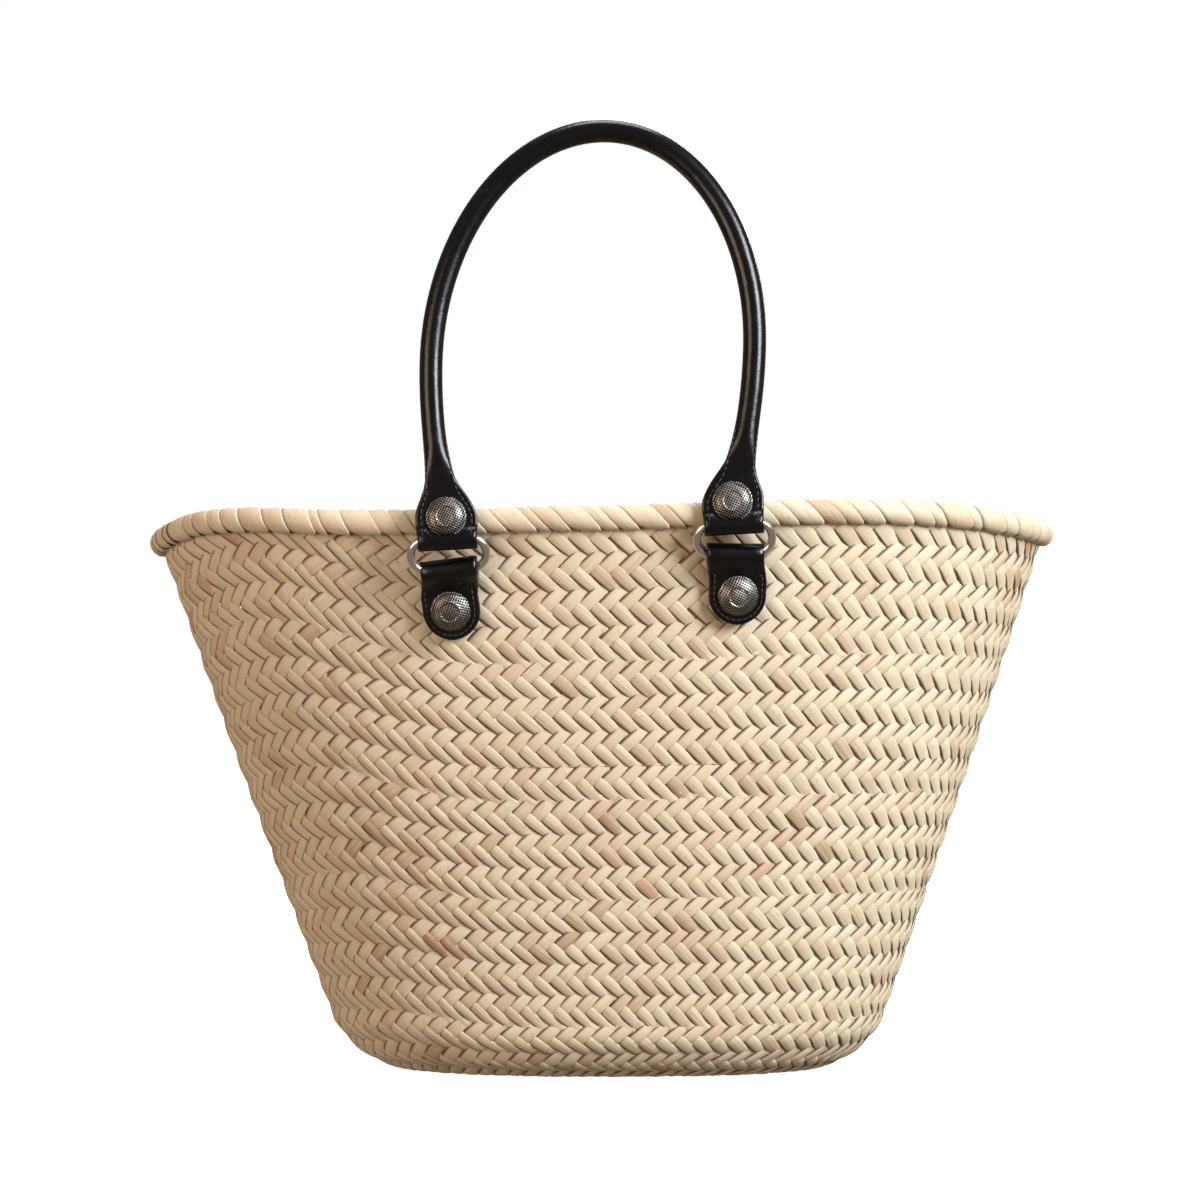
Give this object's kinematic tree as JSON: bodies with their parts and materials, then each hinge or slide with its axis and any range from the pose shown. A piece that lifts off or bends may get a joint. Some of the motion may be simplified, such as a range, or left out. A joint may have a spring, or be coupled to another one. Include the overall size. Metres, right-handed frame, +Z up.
{
  "type": "woven market basket",
  "caption": "Oval palm-leaf market basket with a bound rim and rolled leather handles that swing on oval metal rings held by studded leather tabs.",
  "frame": {"origin": "in the flat underside of the base, below the middle of the rim", "axes": "+X along the basket, +Z up, -Y towards the front, the side of the standing handle"},
  "size_m": [0.4943, 0.3096, 0.5089],
  "materials": {
    "palm_plait": "dry matt palm leaf, plaited in a two-over-two twill",
    "palm_binding": "flat palm strips, satin",
    "palm_cord": "twisted palm fibre",
    "black_leather": "glossy black leather with a fine grain",
    "cotton_cord": "twisted cord",
    "dark_stud_metal": "dark nickel with a fine crossed texture",
    "polished_ring_metal": "polished nickel"
  },
  "bodies": {
    "basket": {"base_plait": "palm_plait", "wall_course_1": "palm_plait", "wall_course_2": "palm_plait", "wall_course_3": "palm_plait", "wall_course_4": "palm_plait", "wall_course_5": "palm_plait", "lacing_cord": "palm_cord", "rim_core": "palm_cord", "rim_binding": "palm_binding", "front_left_tab": "black_leather", "front_right_tab": "black_leather", "back_left_tab": "black_leather", "back_right_tab": "black_leather", "front_left_tab_stud": "dark_stud_metal", "front_right_tab_stud": "dark_stud_metal", "back_left_tab_stud": "dark_stud_metal", "back_right_tab_stud": "dark_stud_metal", "front_left_tab_rivet_back": "polished_ring_metal", "front_right_tab_rivet_back": "polished_ring_metal", "back_left_tab_rivet_back": "polished_ring_metal", "back_right_tab_rivet_back": "polished_ring_metal"},
    "front_left_ring": {"front_left_ring": "polished_ring_metal"},
    "front_right_ring": {"front_right_ring": "polished_ring_metal"},
    "front_handle": {"front_handle_cover": "black_leather", "front_handle_core": "cotton_cord", "front_left_handle_stud": "dark_stud_metal", "front_right_handle_stud": "dark_stud_metal", "front_left_handle_rivet_back": "polished_ring_metal", "front_right_handle_rivet_back": "polished_ring_metal"},
    "back_left_ring": {"back_left_ring": "polished_ring_metal"},
    "back_right_ring": {"back_right_ring": "polished_ring_metal"},
    "back_handle": {"back_handle_cover": "black_leather", "back_handle_core": "cotton_cord", "back_left_handle_stud": "dark_stud_metal", "back_right_handle_stud": "dark_stud_metal", "back_left_handle_rivet_back": "polished_ring_metal", "back_right_handle_rivet_back": "polished_ring_metal"}
  },
  "joints": [
    {"name": "front_ring_swing", "type": "hinge", "parent": "basket", "child": "front_left_ring", "pos_m": [-0.004, -0.1404, 0.2782], "axis": [0.9985, 0, 0.0541], "range_deg": [0, 123]},
    {"name": "front_handle_turn", "type": "hinge", "parent": "front_left_ring", "child": "front_handle", "pos_m": [-0.00488, -0.14798, 0.2945], "axis": [0.9985, 0, 0.0541], "range_deg": [0, 64]},
    {"name": "front_right_ring_swing", "type": "hinge", "parent": "basket", "child": "front_right_ring", "pos_m": [-0.004, -0.1404, 0.2782], "axis": [0.9985, 0, 0.0541], "range_deg": [0, 123]},
    {"name": "back_ring_swing", "type": "hinge", "parent": "basket", "child": "back_left_ring", "pos_m": [-0.004, 0.1404, 0.2782], "axis": [0.9985, 0, 0.0541], "range_deg": [0, 123]},
    {"name": "back_handle_turn", "type": "hinge", "parent": "back_left_ring", "child": "back_handle", "pos_m": [-0.00317, 0.14994, 0.26296], "axis": [0.9985, 0, 0.0541], "range_deg": [-2, 64]},
    {"name": "back_right_ring_swing", "type": "hinge", "parent": "basket", "child": "back_right_ring", "pos_m": [-0.004, 0.1404, 0.2782], "axis": [0.9985, 0, 0.0541], "range_deg": [0, 123]}
  ],
  "couplings": [
    {"joint": "front_right_ring_swing", "follows": "front_ring_swing", "ratio": 1},
    {"joint": "back_right_ring_swing", "follows": "back_ring_swing", "ratio": 1}
  ]
}
